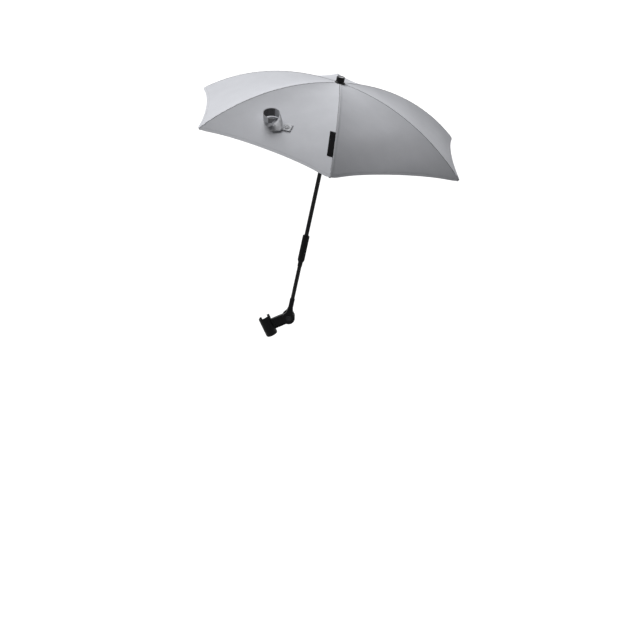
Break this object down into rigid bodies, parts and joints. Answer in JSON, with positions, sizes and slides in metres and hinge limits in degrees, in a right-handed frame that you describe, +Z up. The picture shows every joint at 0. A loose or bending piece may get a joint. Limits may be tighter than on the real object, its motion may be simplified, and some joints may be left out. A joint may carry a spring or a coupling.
{
  "type": "pram parasol",
  "caption": "Clip-on pram parasol with a domed cloth canopy on folding ribs, a pole with a sleeve-locked elbow, and a tilting bracket that snaps on a carriage tube.",
  "frame": {"origin": "middle of the clip's seat, on the axis of the carriage tube that it grips", "axes": "+Z up the pole, +Y along the tilt pivot's axis away from the picture's viewer, +X from the clip towards the pole"},
  "size_m": [0.6374, 0.736, 0.7006],
  "materials": {
    "black_plastic": "moulded, satin black",
    "black_rubber": "soft black rubber",
    "black_pole": "black powder coat",
    "black_bolt": "black oxide",
    "plain_steel": "plain zinc",
    "nylon_washer": "natural nylon",
    "black_rib": "black lacquer",
    "grey_cloth": "light grey coated polyester",
    "strap_cloth": "grey polyester tape",
    "snap_cap": "cloth-covered snap",
    "tab_tape": "bare black woven tape"
  },
  "bodies": {
    "bracket": {"clip_body": "black_plastic", "clip_liner": "black_rubber"},
    "lower_pole": {"knuckle": "black_plastic", "pivot_bolt": "black_bolt", "pivot_nut": "plain_steel", "friction_washers": "nylon_washer", "lower_rod": "black_pole", "elbow_tongue": "black_plastic"},
    "upper_pole": {"elbow_fork": "black_plastic", "elbow_pin": "plain_steel", "upper_pole": "black_pole", "crown": "black_plastic", "crown_pins": "plain_steel", "finial": "black_plastic", "canopy_gore_1": "grey_cloth", "canopy_gore_2": "grey_cloth", "canopy_gore_3": "grey_cloth", "canopy_gore_4": "grey_cloth", "canopy_gore_5": "grey_cloth", "canopy_gore_6": "grey_cloth", "closing_strap": "strap_cloth", "strap_snap": "snap_cap", "seam_tab": "tab_tape"},
    "sleeve": {"sleeve": "black_plastic", "sleeve_bush": "black_plastic"},
    "runner": {"runner": "black_plastic"},
    "runner_button": {"runner_button": "black_plastic"},
    "rib_1": {"rib_1": "black_rib", "rib_bracket_1": "black_plastic", "stretcher_rivet_1": "plain_steel", "rib_tip_1": "black_plastic"},
    "stretcher_1": {"stretcher_1": "black_rib"},
    "rib_2": {"rib_2": "black_rib", "rib_bracket_2": "black_plastic", "stretcher_rivet_2": "plain_steel", "rib_tip_2": "black_plastic"},
    "stretcher_2": {"stretcher_2": "black_rib"},
    "rib_3": {"rib_3": "black_rib", "rib_bracket_3": "black_plastic", "stretcher_rivet_3": "plain_steel", "rib_tip_3": "black_plastic"},
    "stretcher_3": {"stretcher_3": "black_rib"},
    "rib_4": {"rib_4": "black_rib", "rib_bracket_4": "black_plastic", "stretcher_rivet_4": "plain_steel", "rib_tip_4": "black_plastic"},
    "stretcher_4": {"stretcher_4": "black_rib"},
    "rib_5": {"rib_5": "black_rib", "rib_bracket_5": "black_plastic", "stretcher_rivet_5": "plain_steel", "rib_tip_5": "black_plastic"},
    "stretcher_5": {"stretcher_5": "black_rib"},
    "rib_6": {"rib_6": "black_rib", "rib_bracket_6": "black_plastic", "stretcher_rivet_6": "plain_steel", "rib_tip_6": "black_plastic"},
    "stretcher_6": {"stretcher_6": "black_rib"}
  },
  "joints": [
    {"name": "bracket_tilt", "type": "hinge", "parent": "bracket", "child": "lower_pole", "pos_m": [0.04611, 0, 0.0335], "axis": [0, 1, 0], "range_deg": [-30, 75]},
    {"name": "elbow_bend", "type": "hinge", "parent": "lower_pole", "child": "upper_pole", "pos_m": [0.04611, 0, 0.1945], "axis": [0, 1, 0], "range_deg": [0, 60]},
    {"name": "sleeve_slide", "type": "slide", "parent": "upper_pole", "child": "sleeve", "axis": [0, 0, 1], "range_m": [0, 0.038]},
    {"name": "canopy_fold", "type": "slide", "parent": "upper_pole", "child": "runner", "axis": [0, 0, -1], "range_m": [0, 0.25579], "deforming": ["canopy_gore_1", "canopy_gore_2", "canopy_gore_3", "canopy_gore_4", "canopy_gore_5", "canopy_gore_6", "closing_strap", "strap_snap", "seam_tab"]},
    {"name": "rib_1_fold", "type": "hinge", "parent": "upper_pole", "child": "rib_1", "pos_m": [0.04611, -0.012, 0.6515], "axis": [1, 0, 0], "range_deg": [0, 69.51]},
    {"name": "stretcher_1_fold", "type": "hinge", "parent": "rib_1", "child": "stretcher_1", "pos_m": [0.04611, -0.1692, 0.62172], "axis": [1, 0, 0], "range_deg": [-139.02, 0]},
    {"name": "rib_2_fold", "type": "hinge", "parent": "upper_pole", "child": "rib_2", "pos_m": [0.05651, -0.006, 0.6515], "axis": [0.5, 0.866, 0], "range_deg": [0, 69.51]},
    {"name": "stretcher_2_fold", "type": "hinge", "parent": "rib_2", "child": "stretcher_2", "pos_m": [0.19265, -0.0846, 0.62172], "axis": [0.5, 0.866, 0], "range_deg": [-139.02, 0]},
    {"name": "rib_3_fold", "type": "hinge", "parent": "upper_pole", "child": "rib_3", "pos_m": [0.05651, 0.006, 0.6515], "axis": [-0.5, 0.866, 0], "range_deg": [0, 69.51]},
    {"name": "stretcher_3_fold", "type": "hinge", "parent": "rib_3", "child": "stretcher_3", "pos_m": [0.19265, 0.0846, 0.62172], "axis": [-0.5, 0.866, 0], "range_deg": [-139.02, 0]},
    {"name": "rib_4_fold", "type": "hinge", "parent": "upper_pole", "child": "rib_4", "pos_m": [0.04611, 0.012, 0.6515], "axis": [-1, 0, 0], "range_deg": [0, 69.51]},
    {"name": "stretcher_4_fold", "type": "hinge", "parent": "rib_4", "child": "stretcher_4", "pos_m": [0.04611, 0.1692, 0.62172], "axis": [-1, 0, 0], "range_deg": [-139.02, 0]},
    {"name": "rib_5_fold", "type": "hinge", "parent": "upper_pole", "child": "rib_5", "pos_m": [0.03572, 0.006, 0.6515], "axis": [-0.5, -0.866, 0], "range_deg": [0, 69.51]},
    {"name": "stretcher_5_fold", "type": "hinge", "parent": "rib_5", "child": "stretcher_5", "pos_m": [-0.10042, 0.0846, 0.62172], "axis": [-0.5, -0.866, 0], "range_deg": [-139.02, 0]},
    {"name": "rib_6_fold", "type": "hinge", "parent": "upper_pole", "child": "rib_6", "pos_m": [0.03572, -0.006, 0.6515], "axis": [0.5, -0.866, 0], "range_deg": [0, 69.51]},
    {"name": "stretcher_6_fold", "type": "hinge", "parent": "rib_6", "child": "stretcher_6", "pos_m": [-0.10042, -0.0846, 0.62172], "axis": [0.5, -0.866, 0], "range_deg": [-139.02, 0]},
    {"name": "button_press", "type": "slide", "parent": "runner", "child": "runner_button", "axis": [-0.5, 0.866, 0], "range_m": [0, 0.0016], "stiffness_N_per_m": 400, "springref_m": -0.002}
  ],
  "couplings": [
    {"joint": "sleeve_slide", "follows": "elbow_bend", "m_per_rad": 0.036},
    {"joint": "rib_1_fold", "follows": "canopy_fold", "rad_per_m": 4.7421},
    {"joint": "stretcher_1_fold", "follows": "canopy_fold", "rad_per_m": -9.4843},
    {"joint": "rib_2_fold", "follows": "canopy_fold", "rad_per_m": 4.7421},
    {"joint": "stretcher_2_fold", "follows": "canopy_fold", "rad_per_m": -9.4843},
    {"joint": "rib_3_fold", "follows": "canopy_fold", "rad_per_m": 4.7421},
    {"joint": "stretcher_3_fold", "follows": "canopy_fold", "rad_per_m": -9.4843},
    {"joint": "rib_4_fold", "follows": "canopy_fold", "rad_per_m": 4.7421},
    {"joint": "stretcher_4_fold", "follows": "canopy_fold", "rad_per_m": -9.4843},
    {"joint": "rib_5_fold", "follows": "canopy_fold", "rad_per_m": 4.7421},
    {"joint": "stretcher_5_fold", "follows": "canopy_fold", "rad_per_m": -9.4843},
    {"joint": "rib_6_fold", "follows": "canopy_fold", "rad_per_m": 4.7421},
    {"joint": "stretcher_6_fold", "follows": "canopy_fold", "rad_per_m": -9.4843}
  ]
}
